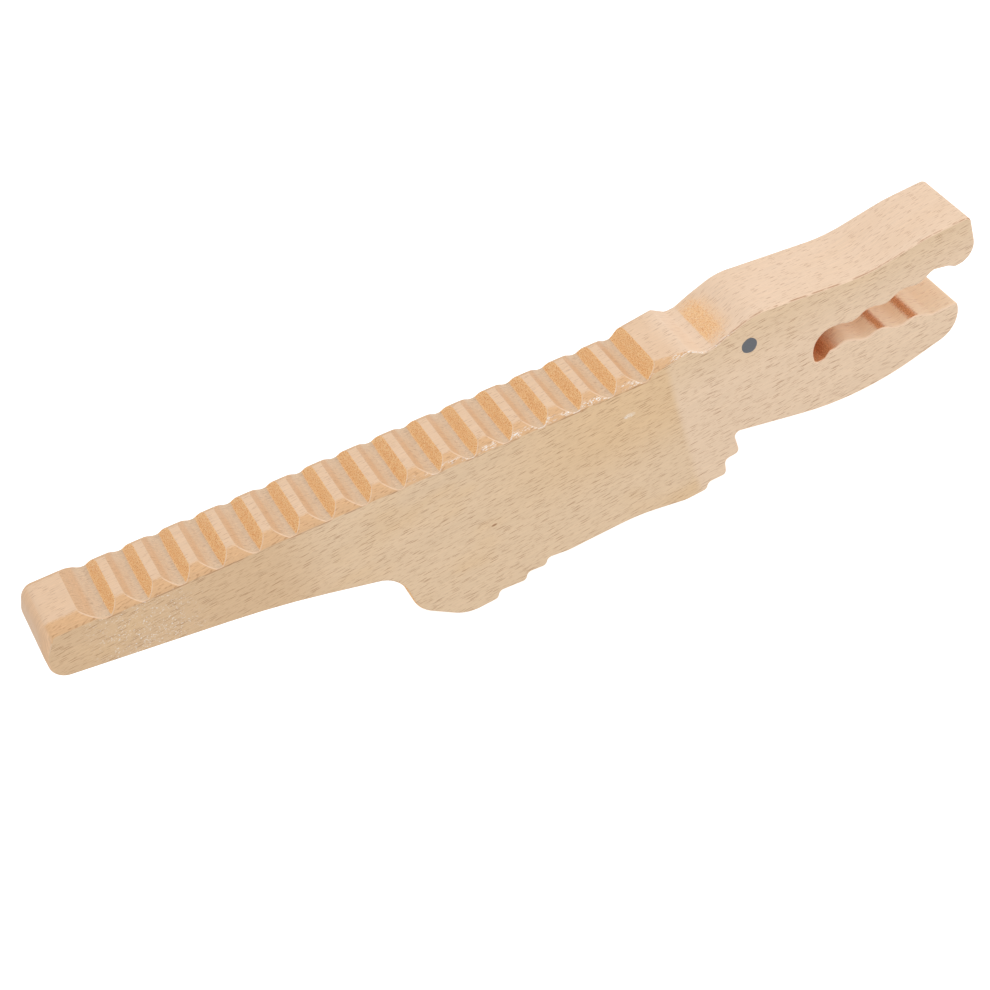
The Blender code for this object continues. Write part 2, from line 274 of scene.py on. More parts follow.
def lower_jaw():
    end = body_length()
    tip = end - JAW_TIP_FROM_END
    return [
        (end - THROAT_LOW_FROM_END, THROAT_LOW_HEIGHT, THROAT_RADIUS),
        (tip, CHIN_HEIGHT, CHIN_RADIUS),
        (tip, JAW_TIP_HEIGHT, JAW_TIP_RADIUS),
    ]


def tooth_wave(start, pitch, teeth, height, first_phase):
    """Points of a wavy line of teeth. height(distance) is the line that the wave follows."""
    points = []
    for i in range(teeth * WAVE_POINTS + 1):
        turn = i / WAVE_POINTS
        rise = TOOTH_WAVE * math.cos(2 * math.pi * turn + first_phase)
        points.append((start + turn * pitch, height(turn * pitch) + rise, 0.0))
    return points


def lower_teeth():
    start = body_length() - MOUTH_DEPTH + LOWER_TOOTH_START
    fall = math.tan(LOWER_LINE_FALL)
    wave = tooth_wave(
        start, LOWER_TOOTH_PITCH, LOWER_TEETH, lambda d: LOWER_LINE_HEIGHT - fall * d, math.pi
    )
    return wave[::-1]


def mouth_corner():
    x = body_length() - MOUTH_DEPTH
    return [
        (x + MOUTH_FLOOR_LENGTH, MOUTH_FLOOR_HEIGHT, MOUTH_FLOOR_RADIUS),
        (x, MOUTH_FLOOR_HEIGHT, MOUTH_FLOOR_RADIUS),
        (x, MOUTH_ROOF_HEIGHT, MOUTH_ROOF_RADIUS),
    ]


def upper_teeth():
    start = body_length() - MOUTH_DEPTH + UPPER_TOOTH_START
    return tooth_wave(
        start,
        UPPER_TOOTH_PITCH,
        UPPER_TEETH,
        lambda d: UPPER_LINE_HEIGHT + UPPER_LINE_BEND * (d - UPPER_TOOTH_PITCH / 2) ** 2,
        0.0,
    )


def snout():
    end = body_length()
    lip = end - SNOUT_LIP_FROM_END
    return [
        (lip - SNOUT_LIP_STEP, SNOUT_LIP_HEIGHT + SNOUT_LIP_RISE, SNOUT_TOP_RADIUS),
        (lip, SNOUT_LIP_HEIGHT, SNOUT_LIP_RADIUS),
        (end, SNOUT_LIP_HEIGHT, SNOUT_NOSE_RADIUS),
        (end, SNOUT_TOP_HEIGHT, SNOUT_TOP_RADIUS),
        (end - SNOUT_RISE_FROM_END, SNOUT_RISE_HEIGHT, SNOUT_RISE_RADIUS),
        (end - SNOUT_HOLLOW_FROM_END, SNOUT_HOLLOW_HEIGHT, SNOUT_HOLLOW_RADIUS),
    ]


def neck():
    valley = neck_x()
    shoulder_end = shoulder_start() + SHOULDER_LENGTH
    shoulder_height = back_height(shoulder_end) + SHOULDER_STEP
    floor = shoulder_height - NECK_DEPTH
    last_groove = row_start() + (GROOVE_COUNT - 1) * GROOVE_PITCH * math.cos(BACK_FALL)
    floor_start = last_groove + GROOVE_REAR_RUN
    floor_end = floor_start + GROOVE_FLOOR
    return [
        (valley + BROW_X, BROW_HEIGHT, BROW_RADIUS),
        (valley + NAPE_X, floor + NAPE_RISE, NAPE_RADIUS),
        (valley + NECK_FLOOR / 2, floor, NECK_FLOOR_RADIUS),
        (valley - NECK_FLOOR / 2, floor, NECK_FLOOR_RADIUS),
        (shoulder_end, shoulder_height, SHOULDER_RADIUS),
        (floor_end, back_height(floor_end) + SHOULDER_STEP, 0.0),
        (floor_start, back_height(floor_start), 0.0),
    ]


def tail_end():
    floor_start = row_start() + GROOVE_REAR_RUN
    floor_end = floor_start + GROOVE_FLOOR
    return [
        (floor_end, back_height(floor_end), 0.0),
        (floor_start, back_height(floor_start) + TAIL_STEP, 0.0),
        (TAIL_CROWN_LEAN, back_height(TAIL_CROWN_LEAN) + TAIL_STEP, TAIL_TOP_RADIUS),
        (0.0, TAIL_TOP_HEIGHT - TAIL_CROWN_DEPTH, TAIL_CROWN_RADIUS),
    ]


def arc_points(before, corner, after, radius):
    """Points of the arc that rounds a corner between two straight runs."""
    to_before = (before - corner).normalized()
    to_after = (after - corner).normalized()
    half = to_before.angle(to_after) / 2
    reach = radius / math.tan(half)
    centre = corner + (to_before + to_after).normalized() * (radius / math.sin(half))
    start = corner + to_before * reach - centre
    sweep = start.angle_signed(corner + to_after * reach - centre)
    steps = max(2, math.ceil(abs(sweep) / ARC_STEP))
    return [centre + Matrix.Rotation(-sweep * i / steps, 2) @ start for i in range(steps + 1)]


def outline():
    """The whole outline, anticlockwise seen from -Y, as points in X and Z."""
    named = (
        tail_underside()
        + feet_and_belly()
        + lower_jaw()
        + lower_teeth()
        + mouth_corner()
        + upper_teeth()
        + snout()
        + neck()
        + tail_end()
    )
    corners = [Vector((x, z)) for x, z, radius in named]
    points = []
    for i, corner in enumerate(corners):
        radius = named[i][2]
        if radius == 0.0:
            points.append(corner)
        else:
            after = corners[(i + 1) % len(corners)]
            points += arc_points(corners[i - 1], corner, after, radius)
    return points


def on_the_back(point):
    return point.x < shoulder_start() and point.y > back_height(point.x) - BACK_ROUNDOVER


def edge_radius(point):
    """Radius of the long edges at an outline point: wide along the back, eased elsewhere."""
    depth = back_height(point.x) - point.y
    if point.x > shoulder_start() or depth > TAIL_EASING_START:
        return EDGE_EASING
    climb = (TAIL_EASING_START - depth) / (TAIL_EASING_START - TAIL_EASING_END)
    return EDGE_EASING + (BACK_ROUNDOVER - EDGE_EASING) * min(1.0, climb)


def fine_outline():
    """The outline's points, close together along the back, and the edge radius at each."""
    points = outline()
    radii = [edge_radius(point) for point in points]
    fine_points = []
    fine_radii = []
    for i, point in enumerate(points):
        after = points[(i + 1) % len(points)]
        after_radius = radii[(i + 1) % len(points)]
        pieces = 1
        if on_the_back(point) or on_the_back(after):
            pieces = max(1, round((after - point).length / BACK_SPACING))
        for part in range(pieces):
            fine_points.append(point.lerp(after, part / pieces))
            fine_radii.append(radii[i] + (after_radius - radii[i]) * part / pieces)
    return fine_points, fine_radii


def inward(points, i):
    """Unit inset of an outline point, so that both runs beside it move in by one."""
    if on_the_back(points[i]) and points[i].x > row_start():
        return Vector((-math.sin(BACK_FALL), -math.cos(BACK_FALL)))
    before = (points[i] - points[i - 1]).normalized()
    after = (points[(i + 1) % len(points)] - points[i]).normalized()
    middle = (before + after).normalized()
    turn = math.sqrt((1 + before.dot(after)) / 2)
    return Vector((-middle.y, middle.x)) / turn


def sunk(point):
    """How much deeper the rounded edge reaches where a groove cuts into a raised block."""
    raised = point.y - back_height(point.x)
    first_floor = row_start() + GROOVE_REAR_RUN
    last_floor = shoulder_start() - GROOVE_FRONT_RUN
    from_floor = max(0.0, first_floor - point.x, point.x - last_floor)
    return max(0.0, raised - SUNK_SLOPE * from_floor)


def board_mesh():
    """The outline swept across the board, with its long edges rounded and no grooves yet."""
    points, radii = fine_outline()
    insets = [inward(points, i) for i in range(len(points))]
    half = BOARD_THICKNESS / 2
    offset_share = ROUNDOVER_OFFSET / BACK_ROUNDOVER
    first_angle = math.acos(1 - offset_share)
    first_inset = 1 - math.sin(first_angle)
    mesh = bmesh.new()

    def add_ring(depth_share, margin, across_of):
        ring = []
        for point, radius, inset in zip(points, radii, insets):
            depth = radius + sunk(point) / first_inset
            place = point + inset * (depth * depth_share + margin)
            ring.append(mesh.verts.new((from_middle(place.x), across_of(radius), place.y)))
        return ring

    rings = []
    for side in (-1, 1):
        near = [add_ring(first_inset, SIDE_MARGIN, lambda r: side * half)]
        for step in range(ROUNDOVER_STEPS + 1):
            angle = first_angle + (math.pi / 2 - first_angle) * step / ROUNDOVER_STEPS
            near.append(
                add_ring(
                    1 - math.sin(angle),
                    0.0,
                    lambda r: side * (half + r * (offset_share - 1 + math.cos(angle))),
                )
            )
        rings += near if side < 0 else near[::-1]
    for near, far in zip(rings, rings[1:]):
        for i in range(len(points)):
            mesh.faces.new((near[i - 1], near[i], far[i], far[i - 1]))
    mesh.faces.new(rings[0])
    mesh.faces.new(rings[-1])
    bmesh.ops.recalc_face_normals(mesh, faces=mesh.faces)
    return mesh


class Tree:
    """Small helper that adds nodes to a tree and links them, so that a tree reads as formulas."""

    def __init__(self, tree):
        self.tree = tree

    def feed(self, socket, value):
        if isinstance(value, bpy.types.NodeSocket):
            self.tree.links.new(value, socket)
        else:
            socket.default_value = value

    def add(self, kind, inputs=(), **settings):
        node = self.tree.nodes.new(kind)
        for name, value in settings.items():
            setattr(node, name, value)
        for name, value in dict(inputs).items():
            self.feed(node.inputs[name], value)
        return node

    def math(self, operation, *values):
        node = self.add("ShaderNodeMath", operation=operation)
        for socket, value in zip(node.inputs, values):
            self.feed(socket, value)
        return node.outputs[0]

    def vector(self, operation, *values, out=0):
        node = self.add("ShaderNodeVectorMath", operation=operation)
        for socket, value in zip(node.inputs, values):
            self.feed(socket, value)
        return node.outputs[out]

    def scaled(self, vector, factor):
        inputs = {0: vector, "Scale": factor}
        return self.add("ShaderNodeVectorMath", inputs, operation="SCALE").outputs[0]


GROOVE_INPUTS = (
    ("Groove count", "NodeSocketInt", GROOVE_COUNT),
    ("Groove pitch", "NodeSocketFloat", GROOVE_PITCH),
    ("Groove depth", "NodeSocketFloat", GROOVE_DEPTH),
    ("Floor width", "NodeSocketFloat", GROOVE_FLOOR),
    ("Rear wall run", "NodeSocketFloat", GROOVE_REAR_RUN),
    ("Front wall run", "NodeSocketFloat", GROOVE_FRONT_RUN),
    ("First wall run", "NodeSocketFloat", TAIL_WALL_RUN),
    ("First step", "NodeSocketFloat", TAIL_STEP),
    ("Floor softness", "NodeSocketFloat", GROOVE_FLOOR_SOFTNESS),
    ("Edge softness", "NodeSocketFloat", GROOVE_EDGE_SOFTNESS),
    ("Highlight depth", "NodeSocketFloat", EDGE_HIGHLIGHT_DEPTH),
    ("Row start", "NodeSocketVector", None),
    ("Along", "NodeSocketVector", None),
    ("Outwards", "NodeSocketVector", None),
    ("Wood", "NodeSocketMaterial", None),
)


def groove_cut(build, given, along):
    """Height of the cutters' path over the row's crests, at a distance along the row."""
    # Each groove's cell runs from the middle of one crest to the middle of the next
    pitch = given["Groove pitch"]
    depth = given["Groove depth"]
    floor_end = build.math("ADD", given["Rear wall run"], given["Floor width"])
    width = build.math("ADD", floor_end, given["Front wall run"])
    crest_half = build.math("DIVIDE", build.math("SUBTRACT", pitch, width), 2.0)
    from_crest = build.math("ADD", along, crest_half)
    cell = build.math("FLOOR", build.math("DIVIDE", from_crest, pitch))
    last = build.math("SUBTRACT", given["Groove count"], 1.0)
    index = build.math("MAXIMUM", build.math("MINIMUM", cell, last), 0.0)
    local = build.math("SUBTRACT", along, build.math("MULTIPLY", index, pitch))

    # The first groove's wall runs up to the tail's higher block at its own slope
    first = build.math("LESS_THAN", index, 0.5)
    slope = build.math("DIVIDE", depth, given["Rear wall run"])
    block_depth = build.math("ADD", depth, given["First step"])
    first_slope = build.math("DIVIDE", block_depth, given["First wall run"])
    extra = build.math("MULTIPLY", first, build.math("SUBTRACT", first_slope, slope))
    tail_slope = build.math("ADD", slope, extra)
    head_slope = build.math("DIVIDE", depth, given["Front wall run"])
    from_tail = build.math("SUBTRACT", given["Rear wall run"], local)
    from_head = build.math("SUBTRACT", local, floor_end)
    tail_wall = build.math("MULTIPLY", from_tail, tail_slope)
    head_wall = build.math("MULTIPLY", from_head, head_slope)
    walls = build.math("MAXIMUM", tail_wall, head_wall)
    softened = build.math("SMOOTH_MAX", walls, 0.0, given["Floor softness"])
    return build.math("SUBTRACT", softened, depth)


def groove_tree():
    """Geometry nodes that press the row of grooves into the back, each point along one line."""
    tree = bpy.data.node_groups.new("cut_grooves", "GeometryNodeTree")
    tree.interface.new_socket("Geometry", in_out="INPUT", socket_type="NodeSocketGeometry")
    for name, kind, value in GROOVE_INPUTS:
        tree.interface.new_socket(name, in_out="INPUT", socket_type=kind)
    tree.interface.new_socket("Geometry", in_out="OUTPUT", socket_type="NodeSocketGeometry")
    build = Tree(tree)
    given = build.add("NodeGroupInput").outputs
    position = build.add("GeometryNodeInputPosition").outputs[0]
    from_start = build.vector("SUBTRACT", position, given["Row start"])
    along = build.vector("DOT_PRODUCT", from_start, given["Along"], out="Value")
    height = build.vector("DOT_PRODUCT", from_start, given["Outwards"], out="Value")

    # Only the back itself is near the cutters; everything lower stays as it is
    cut = groove_cut(build, given, along)
    lowered = build.math("SMOOTH_MIN", height, cut, given["Edge softness"])
    drop = build.math("SUBTRACT", lowered, height)
    # A value is stored that is 1 at a groove's cut edge and fades within the depth given; the wood
    # paints a highlight there
    apart = build.math("ABSOLUTE", build.math("SUBTRACT", height, cut))
    near_edge = build.math("SUBTRACT", 1.0, build.math("DIVIDE", apart, given["Highlight depth"]))
    edge_highlight = {
        "Geometry": given["Geometry"],
        "Name": "groove_edge_highlight",
        "Value": build.math("MAXIMUM", near_edge, 0.0),
    }
    shape = build.add(
        "GeometryNodeStoreNamedAttribute", edge_highlight, data_type="FLOAT", domain="POINT"
    ).outputs[0]
    offset = build.scaled(given["Outwards"], drop)
    for kind, inputs in (
        ("GeometryNodeSetPosition", {"Offset": offset}),
        ("GeometryNodeSetShadeSmooth", {}),
        ("GeometryNodeRealizeInstances", {}),
        ("GeometryNodeSetMaterial", {"Material": given["Wood"]}),
    ):
        shape = build.add(kind, {"Geometry": shape, **inputs}).outputs[0]
    build.add("NodeGroupOutput", {0: shape})
    return tree


def set_input(modifier, name, value):
    """Sets a geometry nodes input by its socket's identifier."""
    for item in modifier.node_group.interface.items_tree:
        if item.item_type == "SOCKET" and item.in_out == "INPUT" and item.name == name:
            modifier[item.identifier] = value
            return
    raise KeyError(name)


def new_object(name, mesh):
    data = bpy.data.meshes.new(name)
    mesh.to_mesh(data)
    mesh.free()
    thing = bpy.data.objects.new(name, data)
    bpy.context.scene.collection.objects.link(thing)
    return thing


def grooved_body(wood):
    board = new_object("board_blank", board_mesh())
    modifier = board.modifiers.new("cut_grooves", "NODES")
    modifier.node_group = groove_tree()
    for name, kind, value in GROOVE_INPUTS:
        if value is not None:
            set_input(modifier, name, value)
    set_input(modifier, "Row start", row_corner())
    set_input(modifier, "Along", BACK_ALONG)
    set_input(modifier, "Outwards", BACK_OUTWARDS)
    set_input(modifier, "Wood", wood)
    bpy.context.view_layer.update()
    depsgraph = bpy.context.evaluated_depsgraph_get()
    data = bpy.data.meshes.new_from_object(board.evaluated_get(depsgraph))
    data.name = "carved_body"
    body = bpy.data.objects.new("carved_body", data)
    bpy.context.scene.collection.objects.link(body)
    bpy.data.objects.remove(board, do_unlink=True)
    return body


def eye_mesh(side):
    """A thin spot of paint on one side face, a little uneven round its rim."""
    draw = random.Random(EYE_SEED + side)
    waves = [
        (count, draw.uniform(0, 2 * math.pi), draw.uniform(*EYE_WAVE_SIZES)) for count in EYE_WAVES
    ]
    mesh = bmesh.new()
    centre = Vector((from_middle(EYE_X), side * BOARD_THICKNESS / 2, EYE_HEIGHT))

    def place(share, angle, lift):
        stray = sum(size * math.cos(count * angle + start) for count, start, size in waves)
        radius = EYE_RADIUS * share * (1 + EYE_WOBBLE * stray / len(waves))
        across = side * lift
        return centre + Vector((radius * math.cos(angle), across, radius * math.sin(angle)))

    steps = [step / EYE_RINGS for step in range(EYE_RINGS + 1)]
    shares = [1.0] + [1.0 - EYE_CROWN * step ** 2 for step in steps]
    lifts = [-EYE_FILM] + [EYE_FILM * math.sin(math.pi / 2 * step) for step in steps]
    angles = [2 * math.pi * i / EYE_POINTS for i in range(EYE_POINTS)]
    rings = []
    for share, lift in zip(shares, lifts):
        rings.append([mesh.verts.new(place(share, angle, lift)) for angle in angles])
    for near, far in zip(rings, rings[1:]):
        for i in range(EYE_POINTS):
            mesh.faces.new((near[i - 1], near[i], far[i], far[i - 1]))
    mesh.faces.new(rings[0])
    mesh.faces.new(rings[-1])
    bmesh.ops.recalc_face_normals(mesh, faces=mesh.faces)
    for face in mesh.faces:
        face.smooth = True
    return mesh


def srgb(red, green, blue):
    """A colour given as 0 to 255 display values, in the linear values that shaders use."""
    return tuple(((v / 255 + 0.055) / 1.055) ** 2.4 for v in (red, green, blue)) + (1.0,)


# Colours of the beech and of the paint
SIDE_TAN = srgb(227, 198, 164)
SIDE_DARK = srgb(218, 185, 147)
SIDE_PALE = srgb(233, 205, 176)
SIDE_HONEY = srgb(225, 190, 146)
# Faces that look up are paler than the sides: partly the wood, partly painted sheen
TOP_PEACH = srgb(234, 202, 171)
TOP_PALE = srgb(240, 211, 184)
ROUTED_TAN = srgb(222, 176, 128)
GROOVE_GREY = srgb(220, 191, 160)
REAR_WALL_TAN = srgb(218, 177, 137)
# End grain colours; the slopes that face the tail carry them deepened as painted shade
END_ORANGE = srgb(244, 184, 120)
END_BRIGHT = srgb(254, 216, 162)
END_PORE = srgb(212, 140, 82)
TAIL_END_TAN = srgb(232, 192, 154)
# Mouth colours: the back's brown is painted shade, the bands' brown is end grain with painted
# shade, and the pink is paler than the beech with painted light
MOUTH_BROWN = srgb(180, 108, 63)
MOUTH_PAINTED_LIGHT_PINK = srgb(249, 222, 191)
MOUTH_FLECK = srgb(232, 168, 118)
BACK_OF_MOUTH_SHADE_BROWN = srgb(190, 119, 75)
RAY_BROWN = srgb(152, 102, 62)
LINE_BROWN = srgb(160, 104, 60)
# White of the painted glints on the lacquer, and of the pale scuff
GLINT_AND_SCUFF_WHITE = srgb(250, 246, 240)
EYE_DARK_GREY = srgb(88, 91, 97)
EYE_PALE_GREY = srgb(108, 111, 116)

# Textures: the cell's size in millimetres on three axes, then the noise's detail and roughness
FINE_GRAIN = ((0.55, 0.30, 0.30), 3.0, 0.7)
GROOVE_FLECKS = ((1.1, 0.36, 0.36), 3.0, 0.7)
PORES = ((0.34, 0.30, 0.30), 2.0, 0.6)
RAGGED_EDGE = ((0.6, 0.4, 0.4), 3.0, 0.65)
SIDE_STREAKS = ((22.0, 0.50, 1.0), 4.0, 0.6)
SIDE_BANDS = ((90.0, 6.0, 1.0), 2.0, 0.5)
SIDE_CLOUDS = ((30.0, 40.0, 14.0), 2.0, 0.5)
FINE_STREAKS = ((8.0, 0.27, 1.0), 2.0, 0.5)
TOP_STREAKS = ((16.0, 0.45, 1.0), 4.0, 0.6)
TOP_PATCHES = ((34.0, 7.0, 1.0), 2.0, 0.5)
ROUTER_STREAKS = ((2.6, 0.26, 0.26), 3.0, 0.65)
GROOVE_RAYS = ((1.8, 0.32, 1.0), 1.0, 0.35)
END_LINES = ((9.0, 0.35, 1.0), 3.0, 0.5)
CREASE_GAPS = ((6.0, 2.0, 2.0), 2.0, 0.5)
HEAD_LINE_GAPS = ((5.0, 2.0, 2.0), 3.0, 0.5)
GLINT_SPOTS = ((0.95, 0.24, 0.24), 2.0, 0.6)
TAIL_GLINT_SPOTS = ((0.6, 0.4, 0.4), 1.0, 0.5)
GLINT_CLUSTERS = ((4.0, 2.0, 2.0), 1.0, 0.5)
EYE_SPECKLE = ((0.25, 0.25, 0.25), 2.0, 0.5)

# Dashes of the wood's rays: the cell's length and width in millimetres, and the dash's share
LONG_RAYS = (10.0, 0.62, 0.19)
SHORT_RAYS = (4.2, 0.50, 0.20)
TOP_RAYS = (6.0, 0.60, 0.19)
DASH_EDGE = 0.55            # share of a dash that keeps its full strength
DASH_STRENGTH = (0.9, 0.5, 0.0)

# How much each texture lightens and darkens the wood
SIDE_STREAK_TINT = 0.05
SIDE_BAND_TINT = 0.05
SIDE_FINE_TINT = 0.05
TOP_STREAK_TINT = 0.09
TOP_FINE_TINT = 0.07
FINE_STREAK_TINT = 0.13
GROOVE_FLECK_TINT = 0.34
ROUTER_STREAK_TINT = 0.30
END_LINE_TINT = 0.30
END_FINE_TINT = 0.10
MOUTH_FLECK_TINT = 0.10
MOUTH_STREAK_TINT = 0.14

# Slope of the grain against the board's own lines
SIDE_TURN = 0.025
TOP_TURN = 0.10
END_TURN = 0.25

# In each pair below, a change begins at the first value and is complete at the second.
# Flat sides, in the model's X and Z
TAIL_DARKENS = (-0.060, -0.085)
HONEY_BEGINS = (-0.030, 0.030)
HONEY_CLIMBS = (0.016, 0.038)
HEAD_TONE_BEGINS = (0.0445, 0.0475)
HEAD_TONE_SINKS = (0.052, 0.034)
CLOUD_EDGES = (0.52, 0.85)
HONEY_SHARE = 0.75
HEAD_TONE_SHARE = 0.85
SIDE_RAY_SHARE = 0.68
SHORT_RAY_SHARE = 0.6
FLAT_SIDE_FACING = (0.955, 0.985)

# Tops and grooves. Depths are heights over the row's crests
ROW_TONE_RUN = 0.006
ROW_TONE_SHARE = 0.30
TOP_RAY_SHARE = 0.52
GROOVE_TONE_DEPTHS = (-0.0006, -0.0018)
REAR_WALL_TONE_DEPTHS = (-0.0021, -0.0010)
REAR_WALL_FACING = (0.14, 0.34)
GROOVE_RAY_PEAKS = (0.58, 0.68)
GROOVE_RAY_SHARE = 0.34

# Long edges that the router rounded
RAGGED_SIZE = 0.22
ROUTED_FACING = (0.08, 0.36)
ROUTED_DEPTHS = (-0.0041, -0.0034)
ROUTED_END_RUN = 0.001
ROUTED_RAY_SHARE = 0.42
ROUTED_SHARE = 0.85

# Cut ends, with places along the head counted from the middle of the neck
PALE_PORES = (0.46, 0.64)
DARK_PORES = (0.46, 0.34)
OUTER_PARTS = (5.0, 13.0)   # millimetres from the board's middle
OUTER_LESS = 0.16
CUT_END_FACING = (0.16, 0.44)
TAIL_END_RUN = 0.006
BROW_FADES = (0.0125, 0.0055)
BROW_SHARE = 0.9
BROW_RUN = 0.001
TAIL_END_FACING = (0.20, 0.45)
HEAD_END_FACING = (0.45, 0.80)
HEAD_ENDS_BEGIN = (0.020, 0.030)

# Mouth, with places along it counted from its back
MOUTH_SURFACE_BEGINS = (-0.0020, -0.0010)
MOUTH_SURFACE_HEIGHTS = (0.0185, 0.0380, 0.0005)
MOUTH_SURFACE_FACING = (0.60, 0.30)
MOUTH_RAGGED_SHARE = 0.007
MOUTH_BAND_HALF = 0.0014
MOUTH_BAND_SOFTNESS = 0.0009
MOUTH_PORES = (0.36, 0.64)
MOUTH_RAY_SHARE = 0.45
BACK_OF_MOUTH_SHADE_FADES = (0.0105, 0.0055)

# Painted highlight along the grooves' edges, the crease along the back and the line along the head
HIGHLIGHT_LINE = (0.40, 0.85)
HIGHLIGHT_FACING = (0.15, 0.40)
HIGHLIGHT_SHARE = 0.70
CREASE_REACH = (-0.00030, 0.00006, 0.00010)
CREASE_FACING = (0.7, 0.9)
CREASE_PEAKS = (0.38, 0.56)
CREASE_ENDS = (-0.006, -0.010)
CREASE_BEGINS = (0.0, 0.003)
HEAD_LINE_FACING = (0.40, 0.85, 0.05)
UPWARDS_FACING = (0.10, 0.30)
HEAD_LINE_CLIMBS = (0.042, 0.044)
HEAD_LINE_PEAKS = (0.42, 0.58)
HEAD_LINE_RUN = 0.012
LINE_SHARE = 0.60

# Painted glints on the lacquer
GLINT_PEAKS = (0.52, 0.58)
CLUSTER_PEAKS = (0.34, 0.50)
TAIL_GLINT_PEAKS = (0.60, 0.68)
TAIL_GLINT_SHARE = 0.6
TAIL_GLINT_PLACE = (-0.134, -0.108, 0.008)
EDGE_GLINT_TOP = -0.0014
EDGE_GLINT_SOFTNESS = 0.0004
EDGE_GLINT_FACING = (0.45, 0.93, 0.05)
EDGE_GLINTS_BEGIN = -0.030
EDGE_GLINTS_RUN = 0.015
SHOULDER_GLINT_REACH = (-0.006, 0.014, 0.004)
SHOULDER_GLINT_FACING = (0.30, 0.93, 0.05)
GLINT_SHARE = 0.9

# Two small marks on the right side, with their sizes
SCUFF_SIZE = (0.0046, 0.0018)
SCUFF_PEAKS = (0.38, 0.55)
SCUFF_SHARE = 0.55
SPECK_SIZE = (0.0024, 0.0009)
SPECK_SHARE = 0.8
MARK_EDGE = (1.0, 0.2)
MARK_FACING = (0.8, 0.9)

# Sheen and relief
BEECH_SPECULAR = 0.35
BEECH_ROUGHNESS = 0.44
STREAK_ROUGHNESS = 0.08
GLINT_GLOSS = 0.25
BEECH_BUMP = (0.6, 0.00006)
GRAIN_RELIEF = 0.6
RAY_RELIEF = 0.7
EYE_ROUGHNESS = 0.5
EYE_BUMP = (0.4, 0.00003)


def material_tree(name):
    material = bpy.data.materials.new(name)
    material.use_nodes = True
    tree = Tree(material.node_tree)
    return material, tree, material.node_tree.nodes["Principled BSDF"]


def smooth_step(tree, value, low, high):
    inputs = {"Value": value, "From Min": low, "From Max": high}
    node = tree.add("ShaderNodeMapRange", inputs, interpolation_type="SMOOTHSTEP")
    return node.outputs["Result"]


def blend(tree, factor, first, second, kind="MIX"):
    inputs = {"Factor": factor, 6: first, 7: second}
    return tree.add("ShaderNodeMix", inputs, data_type="RGBA", blend_type=kind).outputs[2]


def cover(tree, wood, mask, share, colour):
    """The wood with a colour laid over it where the mask is, as strong as the share."""
    return blend(tree, tree.math("MULTIPLY", mask, share), wood, colour)


def object_place(tree):
    return tree.add("ShaderNodeTexCoord").outputs["Object"]


def millimetres(tree):
    return tree.vector("MULTIPLY", object_place(tree), (1 / MM, 1 / MM, 1 / MM))


def dot(tree, vector, axis):
    return tree.vector("DOT_PRODUCT", vector, axis, out="Value")


def along_axes(tree, first, second):
    """Two of the object's axes as a flat vector, in millimetres. Each axis is a vector."""
    place = object_place(tree)
    flat = tree.add("ShaderNodeCombineXYZ")
    for socket, axis in zip(flat.inputs, (first, second)):
        tree.feed(socket, dot(tree, place, tuple(v / MM for v in axis)))
    return flat.outputs[0]


def noise(tree, place, cell, detail, rough):
    """Noise with one cell size for each axis, in the units of place."""
    stretched = tree.vector("MULTIPLY", place, tuple(1.0 / size for size in cell))
    inputs = {"Vector": stretched, "Scale": 1.0, "Detail": detail, "Roughness": rough}
    return tree.add("ShaderNodeTexNoise", inputs).outputs["Fac"]


def peaks(tree, place, texture, limits):
    """1 on the peaks of a noise and 0 between them. The limits are where a peak starts."""
    return smooth_step(tree, noise(tree, place, *texture), *limits)


def dashes(tree, place, length, width, size):
    """Thin marks of the wood's rays: one dash in each long scattered cell, some of them faint."""
    inputs = {
        "Vector": tree.vector("MULTIPLY", place, (1.0 / length, 1.0 / width, 1.0)),
        "Scale": 1.0,
    }
    node = tree.add("ShaderNodeTexVoronoi", inputs, voronoi_dimensions="2D", feature="F1")
    strength = dot(tree, node.outputs["Color"], DASH_STRENGTH)
    dash = smooth_step(tree, node.outputs["Distance"], size, size * DASH_EDGE)
    return tree.math("MULTIPLY", dash, tree.math("MINIMUM", strength, 1.0))


def facing(tree, direction, low, high, ragged=None):
    """How far the surface faces a direction, from 0 to 1, with an optional ragged boundary."""
    turn = dot(tree, tree.add("ShaderNodeNewGeometry").outputs["Normal"], direction)
    if ragged is not None:
        turn = tree.math("ADD", turn, ragged)
    return smooth_step(tree, turn, low, high)


def centred(tree, value, size):
    """A 0 to 1 value as one that swings by size either side of nought."""
    return tree.math("MULTIPLY", tree.math("SUBTRACT", value, 0.5), 2.0 * size)


def tinted(tree, colour, *values_and_sizes):
    """The colour made lighter and darker by each size, following its 0 to 1 value."""
    for value, size in values_and_sizes:
        factor = tree.math("ADD", centred(tree, value, size), 1.0)
        grey = tree.add("ShaderNodeCombineColor")
        for socket in grey.inputs:
            tree.feed(socket, factor)
        colour = blend(tree, 1.0, colour, grey.outputs[0], "MULTIPLY")
    return colour


def opposite(tree, mask):
    return tree.math("SUBTRACT", 1.0, mask)


def all_of(tree, *masks):
    product = masks[0]
    for mask in masks[1:]:
        product = tree.math("MULTIPLY", product, mask)
    return product


def between(tree, value, low, high, soft):
    """1 where the value lies between low and high, with soft ends."""
    return all_of(
        tree,
        smooth_step(tree, value, low - soft, low + soft),
        smooth_step(tree, value, high + soft, high - soft),
    )


def shifted(start, limits):
    """Limits that are counted from a start, as places in the model."""
    return [start + limit for limit in limits]


def add_bump(tree, shader, height, strength, distance):
    inputs = {"Strength": strength, "Distance": distance, "Height": height}
    tree.feed(shader.inputs["Normal"], tree.add("ShaderNodeBump", inputs).outputs[0])


